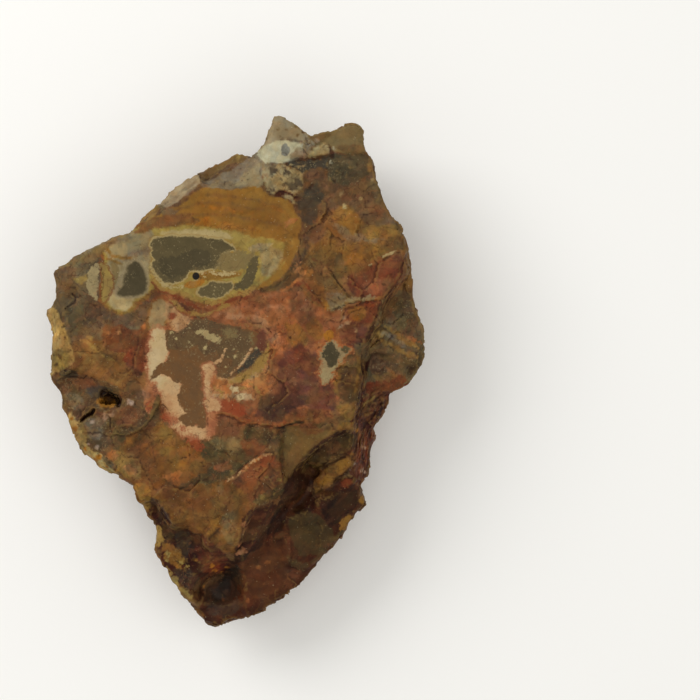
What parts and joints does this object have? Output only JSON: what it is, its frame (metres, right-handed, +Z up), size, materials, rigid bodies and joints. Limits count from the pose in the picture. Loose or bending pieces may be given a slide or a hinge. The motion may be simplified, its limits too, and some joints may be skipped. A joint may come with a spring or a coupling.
{
  "type": "petrified wood",
  "caption": "Hand specimen of petrified wood: a thick broken slab with one broad flat fracture face, stepped ledges at its lower end and rough sides, lying on a small flat spot.",
  "frame": {"origin": "under the middle of the stone's box, level with the flat spot it rests on", "axes": "+Z up out of the broad fracture face, +Y towards the horned upper end, +X to the stone's right as its face is looked at"},
  "size_m": [0.1506, 0.205, 0.0601],
  "materials": {
    "silicified_wood": "broken agatised wood: dull waxy stone stained ochre, rust red, purple brown, cream and olive, with dark spots"
  },
  "bodies": {
    "root": {"petrified_wood": "silicified_wood"}
  },
  "joints": []
}
